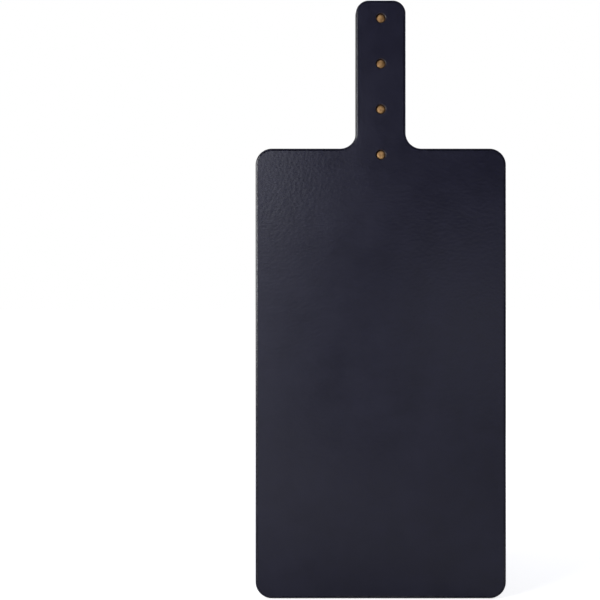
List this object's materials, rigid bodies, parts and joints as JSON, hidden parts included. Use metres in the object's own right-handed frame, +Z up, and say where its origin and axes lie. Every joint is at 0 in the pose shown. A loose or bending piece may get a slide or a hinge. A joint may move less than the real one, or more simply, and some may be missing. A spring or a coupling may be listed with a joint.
{
  "type": "kick paddle",
  "caption": "Hand-held kicking target: thick leather leaves riveted over a core at the handle, free below it so that a kick claps them together.",
  "frame": {"origin": "middle of the handle's grip, on the mid-plane between the two leaves", "axes": "+Z up along the handle, away from the blade; -Y out of the front face, where the rivet heads are; +X across the blade, to the right seen from the front"},
  "size_m": [0.191, 0.0128, 0.456],
  "materials": {
    "black_leather": "smooth, semi-matte, burnished edges",
    "core_leather": "undyed sole leather, edge stained dark",
    "rivet_brass": "satin, dulled"
  },
  "bodies": {
    "handle": {"front_tang": "black_leather", "back_tang": "black_leather", "handle_core": "core_leather", "rivet_1": "rivet_brass", "rivet_2": "rivet_brass", "rivet_3": "rivet_brass", "rivet_4": "rivet_brass", "burr_1": "rivet_brass", "burr_2": "rivet_brass", "burr_3": "rivet_brass", "burr_4": "rivet_brass"},
    "front_leaf": {"front_blade": "black_leather"},
    "back_leaf": {"back_blade": "black_leather"}
  },
  "joints": [
    {"name": "front_leaf_flex", "type": "hinge", "parent": "handle", "child": "front_leaf", "pos_m": [0, -0.004, -0.0707], "axis": [-1, 0, 0], "range_deg": [-0.25, 25], "stiffness_Nm_per_rad": 3},
    {"name": "back_leaf_flex", "type": "hinge", "parent": "handle", "child": "back_leaf", "pos_m": [0, 0.004, -0.0707], "axis": [1, 0, 0], "range_deg": [-0.25, 25], "stiffness_Nm_per_rad": 3}
  ]
}
